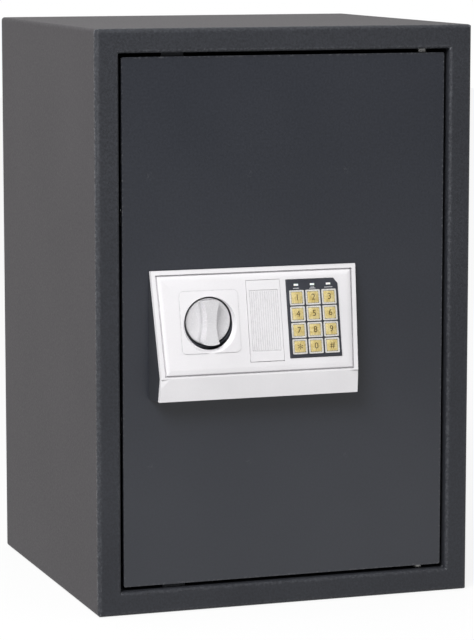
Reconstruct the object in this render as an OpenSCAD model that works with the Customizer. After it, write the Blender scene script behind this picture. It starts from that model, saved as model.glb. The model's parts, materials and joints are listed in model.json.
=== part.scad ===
// Free-standing steel safe with an electronic lock, closed and unlocked.
// Millimetres. Origin at the centre of the underside, +Z up, the door faces -Y.

/* [Cabinet] */
// Outer width of the cabinet
body_w = 340; // [330:5:450]
// Outer depth of the cabinet, from the rim to the back edge
body_d = 310; // [250:5:450]
// Outer height of the cabinet
body_h = 500; // [410:5:700]
// Thickness of the folded cabinet sheet
wall_t = 2; // [1.5:0.1:3]
// Width of the front rim round the door
rim_w = 20.5; // [18:0.5:30]
// Outside radius of the fold between wall and rim
fold_r = 4; // [3.5:0.5:6]
// Outside radius of the cabinet's four long edges
edge_r = 3; // [2.5:0.5:6]
// Diameter of the anchor holes in the back and the floor
anchor_d = 12; // [8:1:16]
// Distance between the two anchor holes of a pair
anchor_pitch = 200; // [120:10:260]
// Height of the rear anchor holes above the underside
anchor_z = 370; // [280:10:390]

/* [Door] */
// Thickness of the door plate
door_t = 4; // [3:0.5:6]
// Gap between the door's edge and the opening
door_gap = 3.5; // [3:0.25:5]
// How far the door's face lies behind the rim
door_recess = 5; // [3:0.5:8]
// Diameter of the hinge pins
hinge_pin_d = 6; // [5:0.5:8]
// Clearance that the door's hinge edge keeps from the opening while it swings
swing_clear = 0.8; // [0.5:0.1:1.5]

/* [Bolt work] */
// Diameter of the live bolts
bolt_d = 18; // [14:1:22]
// Travel of the live bolts
bolt_throw = 16; // [12:1:18]
// Distance between the two live bolts
bolt_spread = 180; // [170:5:220]
// Thickness of the bolt carriage plate
carriage_t = 3; // [2:0.5:4]
// Diameter of the crank pin on the drive cam
crank_pin_d = 6; // [5:0.5:8]

/* [Lock panel] */
// Width of the panel where it meets the door
panel_w = 186.5; // [184:0.5:230]
// Height of the panel
panel_h = 110; // [106:1:140]
// Distance from the door's closing edge to the panel
panel_side = 23; // [20:0.5:60]
// How far the panel's centre lies below the cabinet's centre
panel_drop = 9.5; // [-20:0.5:40]
// How far the panel's top edge stands proud of the door
top_proud = 4; // [4:0.5:8]
// How far the chin's upper edge stands proud of the door
chin_proud = 22; // [18:1:26]
// Height of the chin
chin_h = 20; // [14:1:30]
// Lean of the panel's side walls, as width lost for each unit of height
side_lean = 0.2; // [0.1:0.02:0.3]
// Width of the flat band round the raised face plate
face_band = 3.5; // [3:0.5:6]
// Height of the raised face plate above the band
face_rise = 1.5; // [1:0.1:2.5]

/* [Knob] */
// Diameter of the knob
knob_d = 40; // [36:0.5:48]
// Height of the grip above the knob's disc
grip_h = 10; // [7:0.5:14]
// Diameter of the knob's spindle
spindle_d = 8; // [6:0.5:10]

/* [Keypad] */
// Width of a key
key_w = 9.8; // [8:0.2:10.8]
// Height of a key
key_h = 9.6; // [8:0.2:10.4]
// Distance between key columns
key_pitch_x = 14.7; // [14.4:0.1:15.5]
// Distance between key rows
key_pitch_z = 14; // [13.8:0.1:15]
// Travel of a key
key_travel = 1.2; // [0.6:0.1:1.3]

/* [Interior] */
// Height of the shelf's top face above the underside
shelf_z = 240; // [180:5:250]
// Thickness of the shelf sheet
shelf_t = 1.5; // [1:0.1:3]
// Thickness of the felt mat
mat_t = 3; // [2:0.5:6]
// Thickness of the door's inner cover
cover_t = 1.2; // [0.8:0.1:2]

/* [Hidden] */
$fn = 64;
KEY_NAMES = ["1", "2", "3", "4", "5", "6", "7", "8", "9", "star", "0", "hash"];

// Clearances and small amounts
fit = 0.05;          // running fit of a pin in its bore, on the radius
slide_fit = 0.2;     // sliding fit of a bolt or stud, on the radius
loose = 0.5;         // a part that only passes through a hole, on the radius
seam = 0.4;          // gap round a part set into a pocket
rest_gap = 0.1;      // gap between faces that slide or swing past each other
over = 1;            // how far a cutter runs past what it cuts
min_r = 0.5;

// Cabinet and opening
front_y = -body_d / 2;
back_y = body_d / 2;
open_w = body_w - 2 * rim_w;
open_z0 = rim_w;
open_z1 = body_h - rim_w;
lip_fold_r = wall_t + 1;
back_inset = 1;      // the back panel lies this far inside the wrap's rear edge
back_flange = 12;
anchor_y = 20;       // the floor's anchor holes lie this far behind the centre

// Door plate
door_w = open_w - 2 * door_gap;
door_z0 = open_z0 + door_gap;
door_z1 = open_z1 - door_gap;
door_h = door_z1 - door_z0;
door_corner = 1.5;
door_y = front_y + door_recess;
door_back = door_y + door_t;

// Hinge: the tail behind the pin is as short as the swing allows
hinge_back = hinge_pin_d + door_t;
swing_gap = door_gap - swing_clear;
door_tail = (hinge_back * hinge_back - swing_gap * swing_gap) / (2 * swing_gap);
hinge_x = door_w / 2 - door_tail;
hinge_y = door_y + hinge_back;
knuckle_d = 2 * hinge_pin_d;
hinge_plate = [3.6 * hinge_pin_d, 3];
hinge_block_h = 30;
hinge_pin_reach = 20;
pin_head = [10, 2.5];
washer_d = 9;
stop_tab = [20, 3, 8];
stop_x = -110;

// Lock panel
panel_x0 = -door_w / 2 + panel_side;
panel_x1 = panel_x0 + panel_w;
panel_xc = (panel_x0 + panel_x1) / 2;
panel_zc = body_h / 2 - panel_drop;
panel_z0 = panel_zc - panel_h / 2;
panel_z1 = panel_zc + panel_h / 2;
chin_z = panel_z0 + chin_h;
chin_back = 3.2;     // the chin's lower edge lies this far behind its upper edge
mid_proud = (top_proud + chin_proud) / 2;
face_drop = panel_z1 - chin_z;
face_tilt = atan2(chin_proud - top_proud, face_drop);
face_len = sqrt(pow(chin_proud - top_proud, 2) + pow(face_drop, 2));
face_y = door_y - mid_proud;
face_zc = (panel_z1 + chin_z) / 2;
bezel_t = 3;         // depth of the silver cap, along Y
housing_t = 2.2;
face_foot = 1.5;     // the band under the face plate's lower edge
face_chamfer = 4;
groove = 1.5;
face_sink = 2;       // the face plate's pocket lies this far below the band
boss_d = 8;
facet_w = 8;         // the slanted facet at each end of the chin
facet_turn = 9;

// Knob: the reference point for everything that the lock holds
knob_dx = 50;
knob_x = panel_x0 + knob_dx;
knob_z = face_zc + 1;
dish_gap = 1.2;
dish_d = knob_d + 2 * dish_gap;
dish_wall = 1.5;
dish_floor = 3;      // the floor's front stands this far proud of the door
disc_front = mid_proud - 3.5;  // and the disc's face this far
disc_back = 4.5;
disc_edge = 0.8;
dish_flare = 0.45;   // widening of the face's hole, for each unit of height above the disc
knob_pad = [knob_d + 12, knob_d + 13];
pad_rise = 0.5;
pad_corner = 4;
hub_d = 14;
grip_w = 15;
waist_x = 60;        // distance of the waist's cutters from the knob's axis
waist_front = 4;     // half width of the waist at the grip's crest
waist_back = 5.6;    // and where it meets the disc

// Key cover over the override lock
cover_dx = 49.5;
cover_x = knob_x + cover_dx;
lid_size = [30.2, 69.5];
lid_top = 2;
lid_skin = 1.2;
field = [25.8, 52.8];
field_sink = 0.5;
rib_count = 13;
rib_w = 1;
barrel_d = 16.5;
plug_d = 11;
barrel_front = mid_proud - 2;  // the barrel's face stands this far proud of the door
barrel_back = 20;    // and its rear end lies this far behind the door plate
barrel_nut = [25, 5];
tail = [8, 20, 2];
keyway = [1.6, 7, 8];

// Keypad
pad_dx = 44.4;
pad_x = cover_x + pad_dx;
pad_w = 46.8;
pad_top = 34;
pad_bottom = -33;
pad_chamfer = [3.5, 4.5];
pad_skin = 2.2;
pad_wall = 1.5;
pad_front = face_rise + 1;
key_s0 = 18.2;       // distance of the first row above the face's centre
key_gap = 0.3;
key_corner = 1;
key_front = pad_front + 1.5;
key_dome_r = 22;
key_flange = 0.9;
frame_band = 1.4;
frame_rise = 0.7;
board_front = -4.3;
board_t = 1.6;
board = [45, 62];
lens = [4, 1.8, 1.4];
lens_s = 29.3;
lens_rise = 0.4;

// Depths behind the door plate, and places relative to the knob's axis
cam_y = 0.5;
cam_t = 3;
cam_head = 0.7;
spindle_head_d = spindle_d + 1.5;
carriage_y = cam_y + cam_t + 1;
carriage_back = carriage_y + carriage_t;
bolt_y = bolt_d / 2 + 9;
strike = [bolt_d + 6, bolt_d + 8];
lip_d = door_recess + door_t + bolt_y + strike[0] / 2 + 10;

inner_w = 205;
inner_x0 = -door_w / 2 + 10.5 - knob_x;
inner_x1 = inner_x0 + inner_w;
inner_h = bolt_spread + 56;
inner_d = bolt_y + bolt_d / 2 + 11;
inner_corner = 4;
inner_flange = 12;
inner_screws = [14, inner_w / 2, inner_w - 14];

guide_x = inner_x0 + cover_t + 1.8;
guide_t = 2.5;
guide_foot = 15.5;
guide_h = bolt_d + 12;
bolt_tip = -door_w / 2 - knob_x + 1.5;
bolt_chamfer = 1.5;
bolt_stub = 10;
nut_af = 17;
nut_h = 6;
carriage_x0 = guide_x + guide_t + guide_foot + bolt_throw + 4;
plunger_x = 10;
carriage_x1 = plunger_x + bolt_throw + 10;
strip_w = 16;
tab_t = 3;
tab_h = 22;
tab_d = bolt_y + 11;
plate_z0 = -46.5;
plate_z1 = 51.5;
stud_x = carriage_x0 + strip_w + 1;
stud_z = 33.5;
stud_d = 8;
stud_collar = 12;
stud_head = [14, 2];
crank_r = bolt_throw / sqrt(2);
crank_slack = bolt_throw / 32;
crank_c = crank_r * cos(45);
crank_margin = 0.8;
square_w = 6.4;
bush_d = 12;
bush_flange = [20, 1.2];

// Solenoid, above the carriage
plunger_d = 8;
plunger_y = 16;
plunger_stroke = 8;
plunger_bite = 2;    // how far the plunger drops into the carriage's flange
plunger_tip = plate_z1 + plunger_stroke - plunger_bite;
plunger_slip = bolt_throw * plunger_bite / plunger_stroke;
plunger_z1 = plunger_tip + 51;
land_t = 3;
land_d = 24;
clip_z = plunger_tip + 2.5;
clip = [14, 2];
coil_z0 = plunger_tip + 12.5;
coil_h = 32;
coil_d = 24;
cheek_t = 3;
frame_w = 28;
frame_d = 29;
spine_t = 2.5;

// Battery box and reset button, in the inner cover
battery_x = 92;
battery_z = 62;
box_size = [70, 66];
box_front = 17;
box_wall = 1.5;
cell_d = 14.5;
cell_len = 49;
cell_pitch = 15.8;
cell_y = 26.4;
nub = [5.5, 1.3];
contact = [9.5, 0.6];
hatch_w = 64;        // the opening in the cover
hatch_z = [-31.2, 30];
hatch_axis = [35.4, -28.2];
hatch_rod = 2.4;
hatch_knuckle = [6, 22];
lid_t = 1.6;
lid_z = [-0.8, 57.8];
finger_d = 14;
reset_x = 93;
reset_z = -58;
reset_travel = 2;
reset_d = 8;
reset_proud = 3;
reset_flange = 1.2;
cup_d = 15;
cup_y = 24;

// Wiring
wire_d = 1.8;
wire_r = 2 * wire_d;
wire_hole = 10;
wire_at = [90, -20];
wire_pitch = 3;
wire_y = 8;
board_lead = mid_proud + (face_zc - knob_z - wire_at[1]) * tan(face_tilt)
    - (board_t - board_front + seam) / cos(face_tilt);

// Shelf
shelf_front = front_y + 75;
shelf_back = back_y - 16;
shelf_fold = 15;
shelf_lip = 8;
shelf_gap = 1;
bracket_leg = 15;
bracket_t = 1.5;
mat_front = front_y + lip_d + 3;
mat_back = back_y - back_inset - back_flange - 1;
mat_corner = 6;

// Screws
screw_d = 4;
screw_head = [8, 2.4];
screw_bite = 3;
panel_screw_x = [-38.5, 124];
panel_screw_z = [-52, 30];

// Finishes
graphite = [0.24, 0.24, 0.26];
silver = [0.86, 0.86, 0.88];
steel = [0.7, 0.7, 0.72];
black = [0.08, 0.08, 0.09];
gold = [0.85, 0.68, 0.3];

// ---------- helpers ----------
module block(lo, hi) translate(lo) cube([for (i = [0:2]) hi[i] - lo[i]]);
module rod_y(d, y0, y1) translate([0, y0, 0]) rotate([-90, 0, 0]) cylinder(d = d, h = y1 - y0);
module rod_x(d, x0, x1) translate([x0, 0, 0]) rotate([0, 90, 0]) cylinder(d = d, h = x1 - x0);
module rod_z(d, z0, z1) translate([0, 0, z0]) cylinder(d = d, h = z1 - z0);
module cone_y(d0, d1, y0, y1)
    translate([0, y0, 0]) rotate([-90, 0, 0]) cylinder(d1 = d0, d2 = d1, h = y1 - y0);

// A rounded rectangle with true arcs, centred
module round_rect(w, h, r) {
    square([w - 2 * r, h], center = true);
    square([w, h - 2 * r], center = true);
    for (x = [-1, 1], y = [-1, 1])
        translate([x * (w / 2 - r), y * (h / 2 - r)]) circle(r = r);
}

// A slot with round ends, from its first end's centre towards +x
module slot(length, w) {
    translate([0, -w / 2]) square([length, w]);
    circle(d = w);
    translate([length, 0]) circle(d = w);
}

// Draws its 2D child in the XZ plane, from y0 to y1
module plate_y(y0, y1) translate([0, y1, 0]) rotate([90, 0, 0]) linear_extrude(y1 - y0) children();

// Draws its 2D child, given as (y, z), from x0 to x1
module prism_x(x0, x1)
    translate([x0, 0, 0]) rotate([90, 0, 90]) linear_extrude(x1 - x0) children();

// The frame of the lock: origin on the knob's axis at the back of the door plate
module at_lock() translate([knob_x, door_back, knob_z]) children();
function proud(p) = -door_t - p;

// The face's own frame: origin at the face's centre, Z up along it, -Y out of it
module on_face() translate([0, face_y, face_zc]) rotate([-face_tilt, 0, 0]) children();

// A 2D child on the face, from height n0 to n1 above the band
module slab(n0, n1) translate([0, -n0, 0]) rotate([90, 0, 0]) linear_extrude(n1 - n0) children();

// A prismatoid on the face between two outlines with the same number of points
module loft(low, high, n0, n1) {
    k = len(low);
    polyhedron(
        points = concat([for (p = low) [p[0], -n0, p[1]]], [for (p = high) [p[0], -n1, p[1]]]),
        faces = concat([[for (i = [0:k - 1]) i]], [[for (i = [0:k - 1]) 2 * k - 1 - i]],
            [for (i = [0:k - 1]) [(i + 1) % k, i, k + i, k + (i + 1) % k]]));
}

// ---------- cabinet ----------
module body_outline(inset)
    translate([0, body_h / 2])
        round_rect(body_w - 2 * inset, body_h - 2 * inset, max(edge_r - inset, min_r));

// A quarter of a ring, in the quadrant that sx and sy point to
module quarter_ring(r, sx, sy) intersection() {
    difference() {
        circle(r = r);
        circle(r = r - wall_t);
    }
    translate([sx > 0 ? 0 : -r, sy > 0 ? 0 : -r]) square(r);
}

// The folded section of the front frame, as (y, z): z is inward from the side wall
module frame_section() translate([front_y, 0]) {
    translate([fold_r, fold_r]) quarter_ring(fold_r, -1, -1);
    translate([0, fold_r]) square([wall_t, rim_w - fold_r - lip_fold_r]);
    translate([lip_fold_r, rim_w - lip_fold_r]) quarter_ring(lip_fold_r, -1, 1);
    translate([lip_fold_r, rim_w - wall_t]) square([lip_d - lip_fold_r, wall_t]);
}

// One mitred side of the front frame, along X, its outer face on z = 0
module frame_side(length) intersection() {
    prism_x(-length / 2, length / 2) frame_section();
    plate_y(front_y - over, front_y + lip_d + over) polygon([[-length / 2, 0], [length / 2, 0],
        [length / 2 - rim_w - over, rim_w + over], [-length / 2 + rim_w + over, rim_w + over]]);
}

module each_bolt() for (s = [-1, 1]) translate([0, bolt_y, s * bolt_spread / 2]) children();
module each_anchor() for (s = [-1, 1]) translate([s * anchor_pitch / 2, 0, 0]) children();

// Repeats its child at the lower hinge and, mirrored, at the upper one
module each_hinge() for (up = [0, 1]) translate([0, 0, up * body_h]) mirror([0, 0, up])
    translate([hinge_x, hinge_y, 0]) children();

module cabinet_wrap() color(graphite) difference() {
    plate_y(front_y + fold_r, back_y) body_outline(0);
    plate_y(front_y, back_y + over) body_outline(wall_t);
    each_anchor() translate([0, anchor_y, 0]) rod_z(anchor_d, -over, wall_t + over);
}

module front_frame() color(graphite) difference() {
    intersection() {
        union() {
            frame_side(body_w);
            translate([0, 0, body_h]) rotate([0, 180, 0]) frame_side(body_w);
            for (s = [-1, 1]) translate([s * body_w / 2, 0, body_h / 2])
                rotate([0, -s * 90, 0]) frame_side(body_h);
        }
        plate_y(front_y - over, front_y + lip_d + over) body_outline(0);
    }
    at_lock() each_bolt() block([-open_w / 2 - wall_t - over - knob_x, -strike[0] / 2, -strike[1] / 2],
        [-open_w / 2 + over - knob_x, strike[0] / 2, strike[1] / 2]);
    each_hinge() rod_z(hinge_pin_d + 2 * fit, open_z0 - wall_t - over, open_z0 + over);
}

module back_panel() color(graphite) difference() {
    plate_y(back_y - back_inset - back_flange, back_y - back_inset) body_outline(wall_t);
    plate_y(back_y - back_inset - back_flange - over, back_y - back_inset - wall_t)
        body_outline(2 * wall_t);
    each_anchor() translate([0, 0, anchor_z]) rod_y(anchor_d, back_y - back_flange, back_y + over);
}

module stop_tabs() color(graphite) for (up = [0, 1]) translate([0, 0, up * body_h])
    mirror([0, 0, up]) block([stop_x, door_back + rest_gap, open_z0],
        [stop_x + stop_tab[0], door_back + rest_gap + stop_tab[1], open_z0 + stop_tab[2]]);

module hinge_pins() color(steel) each_hinge() {
    rod_z(hinge_pin_d, open_z0 - wall_t - pin_head[1], open_z0 + door_gap + hinge_pin_reach);
    rod_z(pin_head[0], open_z0 - wall_t - pin_head[1], open_z0 - wall_t);
}

module hinge_washers() color(steel) each_hinge() difference() {
    rod_z(washer_d, open_z0, open_z0 + door_gap - rest_gap);
    rod_z(hinge_pin_d + 2 * fit, open_z0 - over, open_z0 + door_gap + over);
}

module shelf() color(graphite) {
    half = body_w / 2 - wall_t - shelf_gap;
    z0 = shelf_z - shelf_t;
    block([-half, shelf_front, z0], [half, shelf_back, shelf_z]);
    block([-half, shelf_front, shelf_z - shelf_fold], [half, shelf_front + shelf_t, shelf_z]);
    block([-half, shelf_back - shelf_t, z0], [half, shelf_back, shelf_z + shelf_lip]);
}

module shelf_brackets() color(graphite) for (s = [-1, 1]) mirror([s < 0 ? 1 : 0, 0, 0]) {
    wall_x = body_w / 2 - wall_t;
    z1 = shelf_z - shelf_t;
    y0 = shelf_front + shelf_t + over;
    block([wall_x - bracket_t, y0, z1 - bracket_leg], [wall_x, shelf_back, z1]);
    block([wall_x - bracket_leg, y0, z1 - bracket_t], [wall_x, shelf_back, z1]);
}

module floor_mat() color([0.2, 0.2, 0.21]) difference() {
    translate([0, (mat_front + mat_back) / 2, wall_t]) linear_extrude(mat_t)
        round_rect(body_w - 2 * wall_t - 2 * shelf_gap, mat_back - mat_front, mat_corner);
    each_anchor() translate([0, anchor_y, 0]) rod_z(anchor_d + 2 * loose, 0, wall_t + mat_t + over);
}

// ---------- door ----------
module each_panel_screw() for (x = panel_screw_x, z = panel_screw_z) translate([x, 0, z]) children();

module each_cover_screw() for (x = inner_screws, s = [-1, 1])
    translate([inner_x0 + x, 0, s * (inner_h + inner_flange) / 2]) children();

module door_plate() color(graphite) difference() {
    translate([0, 0, (door_z0 + door_z1) / 2])
        plate_y(door_y, door_back) round_rect(door_w, door_h, door_corner);
    at_lock() {
        rod_y(bush_d + 2 * fit, -door_t - over, over);
        translate([cover_dx, 0, 0]) rod_y(barrel_d + 2 * fit, -door_t - over, over);
        translate([wire_at[0], 0, wire_at[1]]) rod_y(wire_hole, -door_t - over, over);
        each_panel_screw() rod_y(screw_d + 2 * loose, -door_t - over, over);
        each_cover_screw() rod_y(screw_d + 2 * fit, -screw_bite - fit, over);
    }
}

module hinge_blocks() color(graphite) each_hinge() difference() {
    translate([0, 0, door_z0]) linear_extrude(hinge_block_h) {
        circle(d = knuckle_d);
        translate([-knuckle_d / 2, door_back - hinge_y]) square([knuckle_d, hinge_y - door_back]);
        translate([-hinge_plate[0] / 2, door_back - hinge_y]) square(hinge_plate);
    }
    rod_z(hinge_pin_d + 2 * fit, door_z0 - over, door_z0 + hinge_block_h + over);
}

// ---------- lock panel ----------
// The panel's plan: its side walls lean inwards as they leave the door
module lean_prism(inset) translate([panel_xc, door_y, panel_z0 - over])
    linear_extrude(panel_h + 2 * over) polygon([
        [-panel_w / 2 + inset, over], [panel_w / 2 - inset, over],
        [panel_w / 2 - inset, 0], [panel_w / 2 - inset - side_lean * 2 * chin_proud, -2 * chin_proud],
        [-panel_w / 2 + inset + side_lean * 2 * chin_proud, -2 * chin_proud],
        [-panel_w / 2 + inset, 0]]);

// The front of the panel's side profile, as (y, z), moved back by d
function panel_front(d) = [[door_y - top_proud + d, panel_z1], [door_y - chin_proud + d, chin_z],
    [door_y - chin_proud + chin_back + d, panel_z0]];

module panel_housing() color(graphite) intersection() {
    difference() {
        prism_x(panel_x0, panel_x1)
            polygon(concat(panel_front(bezel_t), [[door_y, panel_z0], [door_y, panel_z1]]));
        intersection() {
            block([panel_x0, door_y - 2 * chin_proud, panel_z0 + housing_t],
                [panel_x1, door_y + over, panel_z1 - housing_t]);
            lean_prism(housing_t);
        }
    }
    lean_prism(0);
}

// Half the face's width at a distance s above its centre
function face_half(s) = panel_w / 2 - side_lean * (mid_proud - s * sin(face_tilt));
function face_outline(side, top, foot) = let (s0 = -face_len / 2 + foot, s1 = face_len / 2 - top) [
    [panel_xc - face_half(s0) + side, s0], [panel_xc + face_half(s0) - side, s0],
    [panel_xc + face_half(s1) - side, s1], [panel_xc - face_half(s1) + side, s1]];
function face_s(z) = (z - face_zc) / cos(face_tilt);

// The knob's hole: straight round the dish, then flared towards the face
module knob_hole() at_lock() {
    rod_y(dish_d + 2 * dish_wall + 2 * fit, proud(disc_front), over);
    cone_y(dish_d + 2 * dish_flare * chin_proud, dish_d,
        proud(disc_front + chin_proud), proud(disc_front) + fit);
}

module pad_outline(grow) polygon([
    [pad_x - pad_w / 2 - grow, pad_bottom - grow], [pad_x + pad_w / 2 + grow, pad_bottom - grow],
    [pad_x + pad_w / 2 + grow, pad_top - pad_chamfer[1]],
    [pad_x + pad_w / 2 - pad_chamfer[0], pad_top + grow],
    [pad_x - pad_w / 2 - grow, pad_top + grow]]);

module chin_facets() for (s = [-1, 1])
    translate([panel_xc + s * (panel_w / 2 - side_lean * chin_proud - facet_w), door_y - chin_proud, 0])
        rotate([0, 0, s * facet_turn]) mirror([s < 0 ? 1 : 0, 0, 0])
            block([0, -chin_proud, panel_z0 - over], [panel_w / 2, 0, chin_z]);

module panel_bezel() color(silver) difference() {
    intersection() {
        union() {
            prism_x(panel_x0, panel_x1) polygon(concat(panel_front(0),
                [for (i = [2:-1:0]) panel_front(bezel_t)[i]]));
            at_lock() each_panel_screw() rod_y(boss_d, proud(2 * chin_proud), -door_t);
        }
        prism_x(panel_x0, panel_x1)
            polygon(concat(panel_front(0), [[door_y, panel_z0], [door_y, panel_z1]]));
        lean_prism(0);
    }
    chin_facets();
    on_face() {
        slab(-face_sink, over) polygon(face_outline(face_band, face_band, face_foot));
        slab(-2 * bezel_t, over) pad_outline(seam);
    }
    knob_hole();
    at_lock() {
        translate([cover_dx, 0, 0]) rod_y(barrel_d + 2 * loose, proud(2 * chin_proud), 0);
        for (x = panel_screw_x) {
            translate([x, 0, panel_screw_z[0]]) rod_y(screw_d, proud(chin_proud - 5), 0);
            translate([x, 0, panel_screw_z[1]]) rod_y(screw_d, proud(top_proud + 1), 0);
        }
    }
}

module face_plate() color(silver) difference() {
    on_face() {
        side = face_band + groove;
        foot = face_foot + groove;
        slab(-face_sink, 0) polygon(face_outline(side, side, foot));
        loft(face_outline(side, side, foot), face_outline(side + face_chamfer, side + face_chamfer,
            foot + face_chamfer), 0, face_rise);
        translate([knob_x, 0, face_s(knob_z)]) slab(0, face_rise + pad_rise)
            round_rect(knob_pad[0], knob_pad[1], pad_corner);
    }
    on_face() {
        slab(-2 * bezel_t, 2 * bezel_t) translate([cover_x, 0])
            square([lid_size[0] + 2 * seam, lid_size[1] + 2 * seam], center = true);
        slab(-2 * bezel_t, 2 * bezel_t) pad_outline(seam);
    }
    knob_hole();
}

module knob_dish() color(black) intersection() {
    at_lock() difference() {
        rod_y(dish_d + 2 * dish_wall, proud(disc_front), proud(dish_floor) + dish_wall);
        rod_y(dish_d, proud(chin_proud), proud(dish_floor));
        rod_y(hub_d + 2 * loose, proud(chin_proud), 0);
    }
    on_face() slab(-2 * chin_proud, 0) square(2 * panel_w, center = true);
}

// ---------- keypad ----------
function key_x(i) = pad_x + (i % 3 - 1) * key_pitch_x;
function key_s(i) = key_s0 - floor(i / 3) * key_pitch_z;
module each_key() for (i = [0:len(KEY_NAMES) - 1]) translate([key_x(i), 0, key_s(i)]) children();

module keypad_base() color(black) on_face() difference() {
    slab(board_front, pad_front) pad_outline(0);
    slab(board_front - over, pad_front - pad_skin)
        translate([pad_x - pad_w / 2 + pad_wall, pad_bottom + pad_wall]) square([pad_w - 2 * pad_wall,
            key_s0 + key_h / 2 + 2 * key_flange - pad_bottom - pad_wall]);
    each_key() slab(board_front, pad_front + over)
        square([key_w + 2 * key_gap, key_h + 2 * key_gap], center = true);
    for (c = [-1:1]) translate([pad_x + c * key_pitch_x, 0, lens_s])
        slab(pad_front - lens[2] + lens_rise, pad_front + over) square([lens[0], lens[1]], center = true);
}

module key_frames() color(silver) on_face() each_key() slab(pad_front, pad_front + frame_rise)
    difference() {
        hole = [key_w + 2 * key_gap, key_h + 2 * key_gap];
        round_rect(hole[0] + 2 * frame_band, hole[1] + 2 * frame_band, key_corner);
        square(hole, center = true);
    }

module status_lenses() color([0.95, 0.95, 0.95]) on_face() for (c = [-1:1])
    translate([pad_x + c * key_pitch_x, 0, lens_s])
        slab(pad_front - lens[2] + lens_rise, pad_front + lens_rise)
            square([lens[0], lens[1]], center = true);

module keypad_board() color([0.1, 0.3, 0.15]) on_face() slab(board_front - board_t, board_front)
    translate([pad_x, pad_bottom + board[1] / 2]) square(board, center = true);

// One key, its cap domed, with a flange that the base holds back and a stem over the board
module key(i) color(gold) on_face() translate([key_x(i), 0, key_s(i)]) {
    flange_front = pad_front - pad_skin - rest_gap;
    intersection() {
        slab(flange_front - key_flange, key_front) round_rect(key_w, key_h, key_corner);
        translate([0, -key_front + key_dome_r, 0]) sphere(r = key_dome_r);
    }
    slab(flange_front - key_flange, flange_front)
        square([key_w + 2 * key_gap + key_flange, key_h + 2 * key_gap + key_flange], center = true);
    slab(board_front + key_travel + rest_gap, flange_front) circle(d = screw_d);
}

// ---------- override lock ----------
module at_override() at_lock() translate([cover_dx, 0, 0]) children();

module override_barrel() color(steel) at_override() difference() {
    rod_y(barrel_d, proud(barrel_front), barrel_back);
    rod_y(plug_d + 2 * fit, proud(barrel_front) - over, barrel_back + over);
}

module barrel_nut() color(steel) at_override() difference() {
    rotate([-90, 0, 0]) cylinder(d = barrel_nut[0], h = barrel_nut[1], $fn = 6);
    rod_y(barrel_d + 2 * fit, -over, barrel_nut[1] + over);
}

module override_plug() color([0.75, 0.62, 0.32]) at_override() {
    difference() {
        rod_y(plug_d, proud(barrel_front - over), barrel_back + rest_gap);
        block([-keyway[0] / 2, proud(barrel_front), -keyway[1] / 2],
            [keyway[0] / 2, proud(barrel_front) + keyway[2], keyway[1] / 2]);
    }
    rotate([0, 90, 0]) plate_y(barrel_back + rest_gap, barrel_back + rest_gap + tail[2])
        slot(tail[1] - tail[0], tail[0]);
}

module key_cover() color(silver) on_face() translate([cover_x, 0, 0]) difference() {
    slab(-face_sink, lid_top) square(lid_size, center = true);
    slab(-face_sink - over, lid_top - field_sink - lid_skin)
        square([lid_size[0] - 2 * pad_wall, lid_size[1] - 2 * pad_wall], center = true);
    slab(lid_top - field_sink, lid_top + over) difference() {
        square(field, center = true);
        for (i = [0:rib_count - 1])
            translate([(i + 0.5 - rib_count / 2) * field[0] / rib_count, 0])
                square([rib_w, field[1] - 2 * rib_w], center = true);
    }
}

// ---------- knob and drive ----------
module knob() color(silver) at_lock() difference() {
    union() {
        rod_y(knob_d, proud(disc_front - disc_edge), proud(disc_back));
        cone_y(knob_d - 2 * disc_edge, knob_d, proud(disc_front), proud(disc_front - disc_edge));
        rod_y(hub_d, proud(disc_back), proud(dish_floor - dish_wall));
        difference() {
            intersection() {
                rod_y(knob_d - 1, proud(disc_front + grip_h), proud(disc_front));
                block([-grip_w / 2, proud(disc_front + grip_h), -knob_d / 2],
                    [grip_w / 2, proud(disc_front), knob_d / 2]);
            }
            for (s = [-1, 1]) translate([s * waist_x, 0, 0])
                cone_y(2 * (waist_x - waist_front), 2 * (waist_x - waist_back),
                    proud(disc_front + grip_h) - over, proud(disc_front));
        }
    }
    rod_y(spindle_d + 2 * fit, proud(disc_front - over), 0);
}

module knob_spindle() color(steel) at_lock() {
    rod_y(spindle_d, proud(disc_front - over - fit), cam_y);
    block([-square_w / 2, cam_y, -square_w / 2], [square_w / 2, cam_y + cam_t, square_w / 2]);
    rod_y(spindle_head_d, cam_y + cam_t, cam_y + cam_t + cam_head);
}

module spindle_bush() color([0.75, 0.62, 0.32]) at_lock() difference() {
    union() {
        rod_y(bush_d, -door_t, 0);
        rod_y(bush_flange[0], -door_t - bush_flange[1], -door_t);
    }
    rod_y(spindle_d + 2 * fit, -door_t - 2 * over - bush_flange[1], over);
}

module drive_cam() color(steel) at_lock() {
    difference() {
        plate_y(cam_y, cam_y + cam_t) {
            circle(d = 2.2 * spindle_d);
            translate([crank_c, crank_c]) circle(d = 2 * crank_pin_d);
            rotate(45) translate([0, over - crank_pin_d]) square([crank_r, 2 * (crank_pin_d - over)]);
        }
        block([-square_w / 2 - fit, cam_y - over, -square_w / 2 - fit],
            [square_w / 2 + fit, cam_y + cam_t + over, square_w / 2 + fit]);
    }
    translate([crank_c, 0, crank_c]) rod_y(crank_pin_d, cam_y + cam_t, carriage_back + over);
}

// ---------- bolt work ----------
module each_stud() for (s = [-1, 1]) translate([stud_x, 0, s * stud_z]) children();

module guide_studs() color(steel) at_lock() each_stud() {
    rod_y(stud_collar, 0, carriage_y - rest_gap);
    rod_y(stud_d, carriage_y - rest_gap, carriage_back + rest_gap);
    rod_y(stud_head[0], carriage_back + rest_gap, carriage_back + rest_gap + stud_head[1]);
}

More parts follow.
